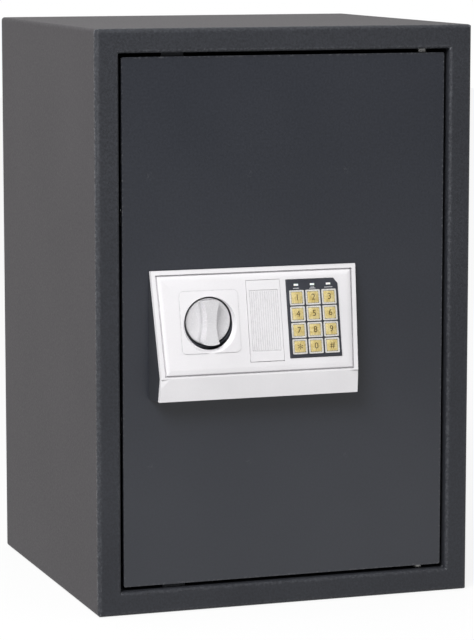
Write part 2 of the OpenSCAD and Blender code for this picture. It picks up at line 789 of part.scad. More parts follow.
module bolt_guides() color(steel) at_lock() for (s = [-1, 1]) translate([0, 0, s * bolt_spread / 2])
    difference() {
        union() {
            block([guide_x, 0, -guide_h / 2], [guide_x + guide_t, bolt_y + guide_h / 2, guide_h / 2]);
            block([guide_x, 0, -guide_h / 2], [guide_x + guide_t + guide_foot, guide_t, guide_h / 2]);
        }
        translate([0, bolt_y, 0])
            rod_x(bolt_d + 2 * slide_fit, guide_x - over, guide_x + guide_t + over);
    }

module bolt_carriage() color(steel) at_lock() difference() {
    union() {
        plate_y(carriage_y, carriage_back) {
            translate([carriage_x0, -bolt_spread / 2 - tab_h / 2])
                square([strip_w, bolt_spread + tab_h]);
            translate([carriage_x0, plate_z0]) square([carriage_x1 - carriage_x0, plate_z1 - plate_z0]);
        }
        block([carriage_x0 + strip_w, carriage_y, plate_z1 - land_t], [carriage_x1, land_d, plate_z1]);
        each_bolt() block([carriage_x0, carriage_y - bolt_y, -tab_h / 2],
            [carriage_x0 + tab_t, tab_d - bolt_y, tab_h / 2]);
    }
    each_bolt() rod_x(bolt_stub + 2 * slide_fit, carriage_x0 - over, carriage_x0 + tab_t + over);
    plate_y(carriage_y - over, carriage_back + over) {
        for (s = [-1, 1]) translate([stud_x, s * stud_z]) slot(bolt_throw, stud_d + 2 * slide_fit);
        translate([crank_c, crank_c - crank_margin]) rotate(90)
            slot(crank_r - crank_c + 2 * crank_margin, crank_pin_d + 2 * crank_slack);
    }
    translate([plunger_x + bolt_throw - plunger_slip, plunger_y, plate_z1 - land_t - over])
        linear_extrude(land_t + 2 * over) slot(plunger_slip, plunger_d + 2 * loose);
}

module live_bolt() {
    rod_x(bolt_d, bolt_tip + bolt_chamfer, carriage_x0);
    translate([bolt_tip, 0, 0]) rotate([0, 90, 0])
        cylinder(d1 = bolt_d - 2 * bolt_chamfer, d2 = bolt_d, h = bolt_chamfer);
    rod_x(bolt_stub, carriage_x0, carriage_x0 + tab_t + nut_h + over);
}
module bolt_upper() color(steel) at_lock() translate([0, bolt_y, bolt_spread / 2]) live_bolt();
module bolt_lower() color(steel) at_lock() translate([0, bolt_y, -bolt_spread / 2]) live_bolt();

module bolt_nuts() color(steel) at_lock() each_bolt() difference() {
    translate([carriage_x0 + tab_t, 0, 0]) rotate([0, 90, 0])
        cylinder(d = nut_af / cos(30), h = nut_h, $fn = 6);
    rod_x(bolt_stub + 2 * fit, carriage_x0, carriage_x0 + tab_t + nut_h + over);
}

// ---------- solenoid ----------
module at_solenoid() at_lock() translate([plunger_x, plunger_y, 0]) children();

module solenoid_frame() color(steel) at_solenoid() difference() {
    union() {
        block([-frame_w / 2, -plunger_y, coil_z0 - cheek_t],
            [frame_w / 2, spine_t - plunger_y, coil_z0 + coil_h + cheek_t]);
        for (z = [coil_z0 - cheek_t, coil_z0 + coil_h])
            block([-frame_w / 2, -plunger_y, z], [frame_w / 2, frame_d - plunger_y, z + cheek_t]);
    }
    rod_z(plunger_d + 2 * slide_fit, coil_z0 - 2 * cheek_t, coil_z0 + coil_h + 2 * cheek_t);
}

module solenoid_coil() color([0.55, 0.25, 0.12]) at_solenoid() difference() {
    rod_z(coil_d, coil_z0, coil_z0 + coil_h);
    rod_z(plunger_d + 2 * slide_fit, coil_z0 - over, coil_z0 + coil_h + over);
}

module solenoid_plunger() color(steel) at_solenoid() {
    rod_z(plunger_d, plunger_tip, plunger_z1);
    rod_z(clip[0], clip_z, clip_z + clip[1]);
}

module plunger_spring() color(steel) at_solenoid() difference() {
    rod_z(clip[0] - 2, clip_z + clip[1], coil_z0 - cheek_t);
    rod_z(plunger_d + 2 * loose, clip_z, coil_z0);
}

// ---------- inner cover ----------
module inner_outline(inset) translate([(inner_x0 + inner_x1) / 2, 0])
    round_rect(inner_w - 2 * inset, inner_h - 2 * inset, inner_corner - inset);

module inner_cover() color(graphite) at_lock() difference() {
    union() {
        plate_y(0, inner_d) inner_outline(0);
        block([inner_x0, 0, -inner_h / 2 - inner_flange], [inner_x1, cover_t, inner_h / 2 + inner_flange]);
    }
    plate_y(-over, inner_d - cover_t) inner_outline(cover_t);
    each_bolt() rod_x(bolt_d + 4 * loose, inner_x0 - over, inner_x0 + cover_t + over);
    translate([battery_x, 0, battery_z]) block([-hatch_w / 2, inner_d - 2 * cover_t, hatch_z[0]],
        [hatch_w / 2, inner_d + over, hatch_z[1]]);
    translate([reset_x, 0, reset_z]) rod_y(reset_d + 2 * slide_fit, inner_d - 2 * cover_t, inner_d + over);
    each_cover_screw() rod_y(screw_d + 2 * slide_fit, -over, cover_t + over);
}

module cover_screws() color(steel) at_lock() each_cover_screw() {
    rod_y(screw_head[0], cover_t, cover_t + screw_head[1]);
    rod_y(screw_d, -screw_bite, cover_t);
}

module panel_screws() color(steel) at_lock() each_panel_screw() {
    rod_y(screw_head[0], 0, screw_head[1]);
    rod_y(screw_d, -door_t - screw_bite + 1, 0);
}

// ---------- batteries and reset ----------
module at_battery() at_lock() translate([battery_x, 0, battery_z]) children();
module each_cell() for (i = [-1.5:1.5]) translate([i * cell_pitch, cell_y, 0]) children();

module battery_box() color(black) at_battery() difference() {
    block([-box_size[0] / 2, box_front, -box_size[1] / 2],
        [box_size[0] / 2, inner_d - cover_t, box_size[1] / 2]);
    block([-box_size[0] / 2 + box_wall, box_front + box_wall, -box_size[1] / 2 + box_wall],
        [box_size[0] / 2 - box_wall, inner_d + over, box_size[1] / 2 - box_wall]);
    translate([0, hatch_axis[0], hatch_axis[1]])
        rod_x(hatch_rod + 2 * fit, -box_size[0] / 2 - over, box_size[0] / 2 + over);
}

module batteries() color([0.7, 0.7, 0.2]) at_battery() each_cell() {
    rod_z(cell_d, -cell_len / 2, cell_len / 2);
    rod_z(nub[0], cell_len / 2, cell_len / 2 + nub[1]);
}

module battery_contacts() color(steel) at_battery() each_cell() {
    end = box_size[1] / 2 - box_wall;
    for (z = [-end, end - contact[1]]) translate([0, 0, z])
        linear_extrude(contact[1]) square(contact[0], center = true);
    rod_z(cell_d / 2, -end + contact[1], -cell_len / 2);
    rod_z(nub[0], cell_len / 2 + nub[1], end - contact[1]);
}

module battery_lid() color(black) at_battery() translate([0, 0, hatch_axis[1]]) {
    y0 = inner_d - cover_t - rest_gap;
    half = hatch_w / 2 - slide_fit;
    difference() {
        block([-half, y0, lid_z[0]], [half, y0 + lid_t, lid_z[1]]);
        translate([0, 0, lid_z[1]]) rod_y(finger_d, y0 - over, y0 + lid_t + over);
    }
    translate([0, hatch_axis[0], 0]) rod_x(hatch_rod, -box_size[0] / 2, box_size[0] / 2);
    for (s = [-1, 1]) translate([s * hatch_knuckle[1], 0, 0])
        block([-hatch_knuckle[0] / 2, hatch_axis[0], lid_z[0]],
            [hatch_knuckle[0] / 2, y0, hatch_rod / 2]);
}

module at_reset() at_lock() translate([reset_x, 0, reset_z]) children();

module reset_switch() color(black) at_reset() difference() {
    rod_y(cup_d, cup_y, inner_d - cover_t);
    rod_y(cup_d - 2 * box_wall, cup_y + 2, inner_d);
}

module reset_button() color([0.75, 0.08, 0.06]) at_reset() {
    back = inner_d - cover_t;
    rod_y(reset_d, back - rest_gap - 1, inner_d + reset_proud);
    rod_y(reset_d + 2 * reset_flange, back - rest_gap - 1, back - rest_gap);
    rod_y(reset_d / 2, cup_y + 2 + reset_travel + rest_gap, back - rest_gap - 1);
}

// ---------- wiring ----------
function unit(v) = v / norm(v);
module link(a, b) {
    v = b - a;
    translate(a) rotate([0, acos(v[2] / norm(v)), atan2(v[1], v[0])]) cylinder(d = wire_d, h = norm(v));
}

// A square bend at the corner p, from direction d1 into d2
module elbow(p, d1, d2) {
    n = cross(d1, d2);
    c = p + wire_r * (d2 - d1);
    multmatrix([for (k = [0:2]) [-d2[k], d1[k], n[k], c[k]]])
        rotate_extrude(angle = 90) translate([wire_r, 0]) circle(d = wire_d);
}

// A lead along a path whose legs are square to each other
module lead(path) {
    last = len(path) - 1;
    dirs = [for (i = [0:last - 1]) unit(path[i + 1] - path[i])];
    for (i = [0:last - 1])
        link(path[i] + (i > 0 ? wire_r : 0) * dirs[i], path[i + 1] - (i < last - 1 ? wire_r : 0) * dirs[i]);
    for (i = [1:last - 1]) elbow(path[i], dirs[i - 1], dirs[i]);
}

// Three leads leave the keypad's board side by side, through the plate
function lead_start(x) = [[x, proud(board_lead), wire_at[1]], [x, wire_y, wire_at[1]]];
module wiring() color([0.6, 0.1, 0.08]) at_lock() {
    left = wire_at[0] - wire_pitch;
    right = wire_at[0] + wire_pitch;
    coil_x = plunger_x + coil_d / 2;
    lead(concat(lead_start(left), [[left, wire_y, coil_z0 - 10], [coil_x + 10, wire_y, coil_z0 - 10],
        [coil_x + 10, wire_y, coil_z0 + coil_h / 2], [coil_x + 10, plunger_y, coil_z0 + coil_h / 2],
        [coil_x, plunger_y, coil_z0 + coil_h / 2]]));
    box_z0 = battery_z - box_size[1] / 2;
    lead(concat(lead_start(wire_at[0]), [[wire_at[0], wire_y, box_z0 - 9],
        [wire_at[0], cell_y, box_z0 - 9], [wire_at[0], cell_y, box_z0]]));
    lead(concat(lead_start(right), [[right, wire_y, reset_z], [right, cup_y, reset_z]]));
}

cabinet_wrap();
front_frame();
back_panel();
stop_tabs();
hinge_pins();
hinge_washers();
shelf();
shelf_brackets();
floor_mat();
door_plate();
hinge_blocks();
panel_housing();
panel_bezel();
face_plate();
knob_dish();
keypad_base();
key_frames();
status_lenses();
keypad_board();
panel_screws();
override_barrel();
barrel_nut();
spindle_bush();
guide_studs();
bolt_guides();
solenoid_frame();
solenoid_coil();
plunger_spring();
inner_cover();
cover_screws();
battery_box();
batteries();
battery_contacts();
reset_switch();
wiring();
knob();
knob_spindle();
drive_cam();
bolt_carriage();
bolt_upper();
bolt_lower();
bolt_nuts();
solenoid_plunger();
override_plug();
key_cover();
battery_lid();
reset_button();
key(0);  // key_1
key(1);  // key_2
key(2);  // key_3
key(3);  // key_4
key(4);  // key_5
key(5);  // key_6
key(6);  // key_7
key(7);  // key_8
key(8);  // key_9
key(9);  // key_star
key(10);  // key_0
key(11);  // key_hash
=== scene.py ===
import json
import math

import bmesh
import bpy
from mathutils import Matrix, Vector, noise

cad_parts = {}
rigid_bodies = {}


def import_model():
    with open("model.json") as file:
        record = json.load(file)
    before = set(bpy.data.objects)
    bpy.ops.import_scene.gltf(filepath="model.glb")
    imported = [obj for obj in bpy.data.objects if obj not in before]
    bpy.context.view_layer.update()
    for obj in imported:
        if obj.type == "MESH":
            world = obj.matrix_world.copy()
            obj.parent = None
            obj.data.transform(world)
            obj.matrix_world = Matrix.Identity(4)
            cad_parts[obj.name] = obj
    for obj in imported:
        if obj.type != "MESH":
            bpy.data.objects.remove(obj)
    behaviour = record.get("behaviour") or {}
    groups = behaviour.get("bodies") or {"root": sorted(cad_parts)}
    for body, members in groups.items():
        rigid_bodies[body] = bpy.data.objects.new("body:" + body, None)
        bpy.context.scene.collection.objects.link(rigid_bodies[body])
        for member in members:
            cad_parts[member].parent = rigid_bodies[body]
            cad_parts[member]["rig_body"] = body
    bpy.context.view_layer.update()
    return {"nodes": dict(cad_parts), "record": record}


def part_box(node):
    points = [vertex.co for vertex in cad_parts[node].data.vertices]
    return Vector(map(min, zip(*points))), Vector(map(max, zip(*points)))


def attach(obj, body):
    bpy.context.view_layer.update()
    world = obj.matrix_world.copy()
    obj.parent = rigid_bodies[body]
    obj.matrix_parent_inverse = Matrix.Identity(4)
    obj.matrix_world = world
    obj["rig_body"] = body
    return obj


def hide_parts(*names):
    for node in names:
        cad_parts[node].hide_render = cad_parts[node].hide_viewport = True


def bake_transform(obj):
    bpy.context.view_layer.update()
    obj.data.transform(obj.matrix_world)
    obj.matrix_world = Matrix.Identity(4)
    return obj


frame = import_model()
nodes = frame["nodes"]
scene = bpy.context.scene
scene.view_settings.view_transform = "Standard"
mm = 0.001
white = (1, 1, 1, 1)
slotOf = {part["node"]: part["material_slot"] for part in frame["record"]["subparts"]}
print("frame loaded,", len(nodes), "nodes")


# camera and light

cameraView = {
    "place": (-0.8514, -2.4993, 0.5906),
    "azimuth": 18.97,  # degrees to the left of the door's normal
    "elevation": 7.8,
    "lens": 164.8,
    "reach": 60,
}
lightRig = {
    "skyLevel": 0.5,  # what the diffuse light of the room is worth
    "seenLevel": 1.0,
    "frontLevel": 0.14,  # the room in front of the door is dimmer in reflections
    "frontBand": (-0.75, -0.1),
    "lamps": [
        # name, place, aimed at, size, watts
        ("keyLamp", (-1.3, -1.6, 1.85), (0, -0.15, 0.28), 1.2, 66),
        ("sideLamp", (-3.0, 0.3, 1.2), (0, 0, 0.25), 1.6, 8),
    ],
}
floorLook = {"size": 14, "drop": 0.0003, "tone": 0.92, "bounceTone": 0.35, "glow": 0.86,
             "mirrorFade": (-2.2, -0.5), "mirrorFar": 0.15}


def place(tree, kind, inputs=None, **settings):
    node = tree.nodes.new(kind)
    for key, value in settings.items():
        setattr(node, key, value)
    for key, value in (inputs or {}).items():
        if isinstance(value, bpy.types.NodeSocket):
            tree.links.new(value, node.inputs[key])
        else:
            node.inputs[key].default_value = value
    return node


def combine(tree, x=0.0, y=0.0, z=0.0):
    return place(tree, "ShaderNodeCombineXYZ", {0: x, 1: y, 2: z}).outputs[0]


def times(tree, a, b, operation="MULTIPLY"):
    return place(tree, "ShaderNodeMath", {0: a, 1: b}, operation=operation).outputs[0]


def seenByEye(tree, mirrored=None):
    # 1 for camera and glass rays, 0 for the rays that light the object; mirror rays
    # see the same, or as much of it as is given
    path = place(tree, "ShaderNodeLightPath")
    mirror = path.outputs["Is Glossy Ray"]
    if mirrored:
        mirror = times(tree, mirror, mirrored)
    total = times(tree, path.outputs["Is Camera Ray"], mirror, "ADD")
    return place(tree, "ShaderNodeMath", {0: total, 1: path.outputs["Is Transmission Ray"]},
                 operation="ADD", use_clamp=True).outputs[0]


def makeCamera(s):
    data = bpy.data.cameras.new("photoCamera")
    data.lens = s["lens"]
    camera = bpy.data.objects.new("photoCamera", data)
    az, el = math.radians(s["azimuth"]), math.radians(s["elevation"])
    look = Vector((math.sin(az) * math.cos(el), math.cos(az) * math.cos(el), -math.sin(el)))
    camera.location = s["place"]
    camera.rotation_euler = look.to_track_quat("-Z", "Y").to_euler()
    data.clip_end = s["reach"]
    scene.collection.objects.link(camera)
    scene.camera = camera


def makeRoom(s):
    world = bpy.data.worlds.new("room")
    scene.world = world
    world.use_nodes = True
    tree = world.node_tree
    tree.nodes.clear()
    heading = place(tree, "ShaderNodeTexCoord").outputs["Generated"]
    depth = place(tree, "ShaderNodeSeparateXYZ", {0: heading}).outputs[1]
    near, far = s["frontBand"]
    front = place(tree, "ShaderNodeMapRange", {"Value": depth, "From Min": near, "From Max": far,
                                               "To Min": s["frontLevel"], "To Max": s["seenLevel"]},
                  interpolation_type="SMOOTHSTEP")
    level = place(tree, "ShaderNodeMix", {0: seenByEye(tree), 2: s["skyLevel"],
                                          3: front.outputs["Result"]})
    glow = place(tree, "ShaderNodeBackground", {"Color": white, "Strength": level.outputs[0]})
    place(tree, "ShaderNodeOutputWorld", {"Surface": glow.outputs[0]})
    for name, spot, aim, size, watts in s["lamps"]:
        data = bpy.data.lights.new(name, "AREA")
        data.size, data.energy = size, watts
        lamp = bpy.data.objects.new(name, data)
        lamp.location = spot
        lamp.rotation_euler = (Vector(aim) - Vector(spot)).to_track_quat("-Z", "Y").to_euler()
        scene.collection.objects.link(lamp)


def makeFloor(s):
    half, z = s["size"] / 2, -s["drop"]
    mesh = bpy.data.meshes.new("studioFloor")
    mesh.from_pydata([(-half, -half, z), (half, -half, z), (half, half, z), (-half, half, z)],
                     [], [(0, 1, 2, 3)])
    floor = bpy.data.objects.new("studioFloor", mesh)
    scene.collection.objects.link(floor)
    paper = bpy.data.materials.new("paperFloor")
    paper.use_nodes = True
    tree = paper.node_tree
    tree.nodes.clear()
    where = place(tree, "ShaderNodeTexCoord").outputs["Object"]
    depth = place(tree, "ShaderNodeSeparateXYZ", {0: where}).outputs[1]
    near, far = s["mirrorFade"][1], s["mirrorFade"][0]
    fade = place(tree, "ShaderNodeMapRange", {"Value": depth, "From Min": far, "From Max": near,
                                              "To Min": s["mirrorFar"], "To Max": 1.0})
    seen = seenByEye(tree, fade.outputs[0])
    tone = place(tree, "ShaderNodeMapRange", {"Value": seen, "To Min": s["bounceTone"],
                                              "To Max": s["tone"]})
    matte = place(tree, "ShaderNodeBsdfDiffuse", {"Color": tone.outputs[0]})
    glow = place(tree, "ShaderNodeEmission", {"Color": white, "Strength": 1.0})
    mixed = place(tree, "ShaderNodeMixShader", {0: times(tree, seen, s["glow"]),
                                                1: matte.outputs[0], 2: glow.outputs[0]})
    place(tree, "ShaderNodeOutputMaterial", {"Surface": mixed.outputs[0]})
    mesh.materials.append(paper)


makeCamera(cameraView)
makeRoom(lightRig)
makeFloor(floorLook)
print("camera, room and floor made")


# finishes, all procedural, on Object coordinates

# how the noises are read: the stops or limits between which each one takes effect
noiseBands = {"cloud": (0.32, 0.68), "fleck": (0.35, 0.7), "rough": (0.3, 0.7),
              "crevice": (0.5, 0.95), "edge": (0.995, 0.86), "chipWidth": 0.14,
              "cloudDetail": 3.0, "grainDetail": 2.0, "grainRoughness": 0.55, "chipDetail": 4.0,
              "edgeSamples": 4, "creviceSamples": 8, "bump": 0.6}


def finish(name, s):
    material = bpy.data.materials.new(name)
    material.use_nodes = True
    tree = material.node_tree
    shader = tree.nodes["Principled BSDF"]
    where = place(tree, "ShaderNodeTexCoord").outputs["Object"]
    drawn = place(tree, "ShaderNodeMapping", {"Vector": where,
                                              "Scale": s.get("stretch", (1, 1, 1))})
    cloud = place(tree, "ShaderNodeTexNoise", {
        "Vector": where, "Scale": s["cloudScale"], "Detail": noiseBands["cloudDetail"]}).outputs[0]
    grain = place(tree, "ShaderNodeTexNoise", {
        "Vector": drawn.outputs[0], "Scale": s["grainScale"],
        "Detail": s.get("grainDetail", noiseBands["grainDetail"]),
        "Roughness": noiseBands["grainRoughness"]}).outputs[0]
    ramp = place(tree, "ShaderNodeValToRGB", {"Fac": cloud})
    for stop, at, tone in zip(ramp.color_ramp.elements, noiseBands["cloud"], s["tones"]):
        stop.position, stop.color = at, (*tone, 1)
    colour = ramp.outputs[0]
    if "bands" in s:  # constant colour steps along Z, as on a battery's sleeve
        colour = bandColour(tree, where, s["bands"], colour)
    low, high = noiseBands["fleck"]
    fleck = place(tree, "ShaderNodeMapRange", {"Value": grain, "From Min": low, "From Max": high,
                                               "To Min": 1 - s["fleck"], "To Max": 1 + s["fleck"]})
    colour = place(tree, "ShaderNodeVectorMath", {0: colour, "Scale": fleck.outputs[0]},
                   operation="SCALE").outputs[0]
    low, high = noiseBands["rough"]
    rough = place(tree, "ShaderNodeMapRange", {"Value": grain, "From Min": low, "From Max": high,
                                               "To Min": s["rough"] - s["roughSpread"],
                                               "To Max": s["rough"] + s["roughSpread"]}).outputs[0]
    if "crevice" in s:  # painted shade: the colour is darkened where a step or a groove shades the surface
        hidden = place(tree, "ShaderNodeAmbientOcclusion", {"Distance": s["crevice"]},
                       samples=noiseBands["creviceSamples"], only_local=True).outputs["AO"]
        low, high = noiseBands["crevice"]
        paintedCreaseShade = place(tree, "ShaderNodeMapRange", {"Value": hidden, "From Min": low,
                                                  "From Max": high, "To Min": s["creviceTone"],
                                                  "To Max": 1.0})
        colour = place(tree, "ShaderNodeVectorMath", {0: colour, "Scale": paintedCreaseShade.outputs[0]},
                       operation="SCALE").outputs[0]
    # edges get a lighter colour: partly edge wear, partly painted highlight
    if "wear" in s:
        edgeWearAndHighlight = edgeWearAndHighlightMask(tree, where, s)
        colour = place(tree, "ShaderNodeMix", {0: edgeWearAndHighlight, 6: colour, 7: (*s["wear"], 1)},
                       data_type="RGBA").outputs[2]
    tree.links.new(colour, shader.inputs["Base Color"])
    tree.links.new(rough, shader.inputs["Roughness"])
    bump = place(tree, "ShaderNodeBump", {"Height": grain, "Distance": s["grainDepth"],
                                          "Strength": s.get("bump", noiseBands["bump"])})
    tree.links.new(bump.outputs[0], shader.inputs["Normal"])
    for socket, value in s.get("sockets", {}).items():
        shader.inputs[socket].default_value = value
    return material


def edgeWearAndHighlightMask(tree, where, s):
    # where the rounded normal leaves the true one there is an edge, broken up by noise; its lighter
    # colour is partly edge wear and partly painted highlight
    rounded = place(tree, "ShaderNodeBevel", {"Radius": s["wearWidth"]},
                    samples=noiseBands["edgeSamples"]).outputs[0]
    true = place(tree, "ShaderNodeNewGeometry").outputs["Normal"]
    along = place(tree, "ShaderNodeVectorMath", {0: rounded, 1: true}, operation="DOT_PRODUCT")
    low, high = noiseBands["edge"]
    edge = place(tree, "ShaderNodeMapRange", {"Value": along.outputs["Value"], "From Min": low,
                                              "From Max": high}).outputs[0]
    patch = place(tree, "ShaderNodeTexNoise", {"Vector": where, "Scale": s["wearScale"],
                                               "Detail": noiseBands["chipDetail"]}).outputs[0]
    patch = place(tree, "ShaderNodeMapRange", {
        "Value": patch, "From Min": s["wearFrom"], "To Max": s["wearShare"],
        "From Max": s["wearFrom"] + noiseBands["chipWidth"]}).outputs[0]
    return place(tree, "ShaderNodeMath", {0: edge, 1: patch}, operation="MULTIPLY",
                 use_clamp=True).outputs[0]


def bandColour(tree, where, bands, base):
    height = place(tree, "ShaderNodeSeparateXYZ", {0: where}).outputs[2]
    for start, tone in bands:
        above = place(tree, "ShaderNodeMath", {0: height, 1: start}, operation="GREATER_THAN")
        base = place(tree, "ShaderNodeMix", {0: above.outputs[0], 6: base, 7: (*tone, 1)},
                     data_type="RGBA").outputs[2]
    return base


finishes = {
    "graphite": {"tones": [(0.0235, 0.0252, 0.0312), (0.0292, 0.0312, 0.038)], "cloudScale": 7,
                 "grainScale": 560, "fleck": 0.22, "rough": 0.58, "roughSpread": 0.08,
                 # the lighter edge colour is partly worn paint and partly painted highlight along
                 # the folds
                 "grainDepth": 0.00022, "bump": 0.55, "wear": (0.24, 0.25, 0.27),
                 "wearWidth": 0.0035, "wearScale": 420, "wearFrom": 0.46, "wearShare": 0.6,
                 "sockets": {"Specular IOR Level": 0.36}},
    "doorPaint": {"tones": [(0.0175, 0.0202, 0.0285), (0.022, 0.0247, 0.0335)], "cloudScale": 7,
                  "grainScale": 560, "fleck": 0.14, "rough": 0.34, "roughSpread": 0.06,
                  "grainDepth": 0.00009, "bump": 0.35, "wear": (0.2, 0.2, 0.21),
                  "wearWidth": 0.0035, "wearScale": 420, "wearFrom": 0.5, "wearShare": 0.4,
                  "sockets": {"Specular IOR Level": 0.62}},
    "wedge": {"tones": [(0.03, 0.032, 0.038), (0.042, 0.044, 0.05)], "cloudScale": 18,
              "grainScale": 900, "fleck": 0.12, "rough": 0.4, "roughSpread": 0.06,
              "grainDepth": 0.0001, "wear": (0.22, 0.22, 0.24), "wearWidth": 0.001,
              "wearScale": 500, "wearFrom": 0.52, "wearShare": 0.4},
    "silver": {"tones": [(0.79, 0.776, 0.796), (0.85, 0.836, 0.856)], "cloudScale": 14,
               # the crevice values set the painted shade in grooves and at steps
               "crevice": 0.0018, "creviceTone": 0.5, "grainScale": 2600, "fleck": 0.035,
               "rough": 0.36, "roughSpread": 0.06, "grainDepth": 0.00003,
               "wear": (0.9, 0.89, 0.91), "wearWidth": 0.0008, "wearScale": 300,
               "wearFrom": 0.4, "wearShare": 0.6,
               "sockets": {"Metallic": 0.08, "Coat Weight": 0.25, "Coat Roughness": 0.2}},
    "zinc": {"tones": [(0.48, 0.49, 0.5), (0.62, 0.61, 0.58)], "cloudScale": 60,
             "grainScale": 1400, "fleck": 0.08, "rough": 0.34, "roughSpread": 0.1,
             "grainDepth": 0.00003, "wear": (0.75, 0.75, 0.74), "wearWidth": 0.0006,
             "wearScale": 700, "wearFrom": 0.42, "wearShare": 0.7, "sockets": {"Metallic": 1.0}},
    "brass": {"tones": [(0.6, 0.45, 0.18), (0.74, 0.58, 0.26)], "cloudScale": 80,
              "grainScale": 1500, "fleck": 0.06, "rough": 0.28, "roughSpread": 0.08,
              "grainDepth": 0.00002, "wear": (0.86, 0.74, 0.42), "wearWidth": 0.0004,
              "wearScale": 700, "wearFrom": 0.42, "wearShare": 0.7, "sockets": {"Metallic": 1.0}},
    "gold_key": {"tones": [(0.66, 0.5, 0.17), (0.84, 0.71, 0.36)], "cloudScale": 260,
                 "grainScale": 1500, "stretch": (2.2, 2.2, 0.12), "fleck": 0.1, "rough": 0.3,
                 "roughSpread": 0.08, "grainDepth": 0.00003, "wear": (0.95, 0.88, 0.6),
                 "wearWidth": 0.0007, "wearScale": 900, "wearFrom": 0.35, "wearShare": 0.7,
                 "sockets": {"Metallic": 0.25, "Coat Weight": 0.4, "Coat Roughness": 0.12}},
    "key_frame": {"tones": [(0.74, 0.72, 0.68), (0.84, 0.82, 0.78)], "cloudScale": 150,
                  "grainScale": 1800, "fleck": 0.06, "rough": 0.26, "roughSpread": 0.08,
                  "grainDepth": 0.00002, "wear": (0.9, 0.9, 0.9), "wearWidth": 0.0004,
                  "wearScale": 900, "wearFrom": 0.35, "wearShare": 0.7,
                  "sockets": {"Metallic": 0.25}},
    "black": {"tones": [(0.028, 0.03, 0.04), (0.042, 0.044, 0.056)], "cloudScale": 40,
              "grainScale": 1300, "fleck": 0.12, "rough": 0.48, "roughSpread": 0.08,
              "grainDepth": 0.00006, "wear": (0.14, 0.14, 0.15), "wearWidth": 0.0006,
              "wearScale": 600, "wearFrom": 0.45, "wearShare": 0.5},
    "lens": {"tones": [(0.88, 0.88, 0.86), (0.95, 0.95, 0.94)], "cloudScale": 300,
             "grainScale": 1500, "fleck": 0.02, "rough": 0.22, "roughSpread": 0.05,
             "grainDepth": 0.00001, "sockets": {"Subsurface Weight": 0.2,
                                               "Subsurface Scale": 0.001}},
    "board": {"tones": [(0.012, 0.11, 0.04), (0.02, 0.17, 0.07)], "cloudScale": 350,
              "grainScale": 1200, "stretch": (1, 1, 0.15), "fleck": 0.3, "rough": 0.35,
              "roughSpread": 0.1, "grainDepth": 0.00006, "wear": (0.5, 0.42, 0.2),
              "wearWidth": 0.0004, "wearScale": 500, "wearFrom": 0.4, "wearShare": 0.6},
    "copper": {"tones": [(0.5, 0.2, 0.07), (0.68, 0.31, 0.13)], "cloudScale": 180,
               "grainScale": 1600, "fleck": 0.1, "rough": 0.3, "roughSpread": 0.08,
               "grainDepth": 0.00002, "sockets": {"Metallic": 0.9, "Coat Weight": 0.5,
                                                 "Coat Roughness": 0.15}},
    "felt": {"tones": [(0.03, 0.031, 0.034), (0.05, 0.051, 0.056)], "cloudScale": 26,
             "grainScale": 1500, "grainDetail": 6.0, "stretch": (1, 0.5, 1), "fleck": 0.5,
             "rough": 0.92, "roughSpread": 0.06, "grainDepth": 0.0005, "bump": 0.8,
             "sockets": {"Sheen Weight": 0.12, "Sheen Roughness": 0.5,
                         "Specular IOR Level": 0.2}},
    "cell": {"tones": [(0.02, 0.022, 0.028), (0.03, 0.032, 0.04)], "cloudScale": 90,
             "grainScale": 900, "stretch": (1, 1, 0.2), "fleck": 0.1, "rough": 0.3,
             "roughSpread": 0.06, "grainDepth": 0.00002,
             "bands": [(0.3248, (0.62, 0.36, 0.14)), (0.3376, (0.7, 0.7, 0.7))],
             "sockets": {"Coat Weight": 0.4, "Coat Roughness": 0.15}},
    "red": {"tones": [(0.48, 0.03, 0.025), (0.6, 0.05, 0.04)], "cloudScale": 120,
            "grainScale": 1200, "fleck": 0.05, "rough": 0.32, "roughSpread": 0.06,
            "grainDepth": 0.00002, "wear": (0.8, 0.3, 0.25), "wearWidth": 0.0004,
            "wearScale": 700, "wearFrom": 0.45, "wearShare": 0.5},
    "wire": {"tones": [(0.42, 0.03, 0.025), (0.5, 0.045, 0.035)], "cloudScale": 120,
             "grainScale": 1000, "fleck": 0.06, "rough": 0.5, "roughSpread": 0.06,
             "grainDepth": 0.00003},
    "knobSilver": {"tones": [(0.76, 0.75, 0.77), (0.84, 0.83, 0.85)], "cloudScale": 40,
                   # the crevice values set the painted shade in the dish and round the grip
                   "crevice": 0.003, "creviceTone": 0.6,
                   "grainScale": 1900, "fleck": 0.02, "rough": 0.25, "roughSpread": 0.04,
                   "grainDepth": 0.000008, "wear": (0.92, 0.92, 0.93), "wearWidth": 0.0007,
                   "wearScale": 500, "wearFrom": 0.4, "wearShare": 0.5,
                   "sockets": {"Metallic": 0.35, "Coat Weight": 0.2, "Coat Roughness": 0.15}},
    "keyInk": {"tones": [(0.06, 0.04, 0.014), (0.1, 0.066, 0.02)], "cloudScale": 400,
               "grainScale": 2200, "fleck": 0.15, "rough": 0.45, "roughSpread": 0.08,
               "grainDepth": 0.00001},
    "paleInk": {"tones": [(0.5, 0.5, 0.52), (0.62, 0.62, 0.64)], "cloudScale": 400,
                "grainScale": 2200, "fleck": 0.12, "rough": 0.5, "roughSpread": 0.08,
                "grainDepth": 0.00001},
}
# painted light: the same graphite paint, made warmer and lighter for the sides, top and back, where
# light and reflections tint it
finishes["wrapPaint"] = {**finishes["graphite"], "wear": (0.24, 0.24, 0.25),
                         "tones": [(0.0302, 0.0262, 0.0302), (0.0365, 0.0322, 0.0365)]}
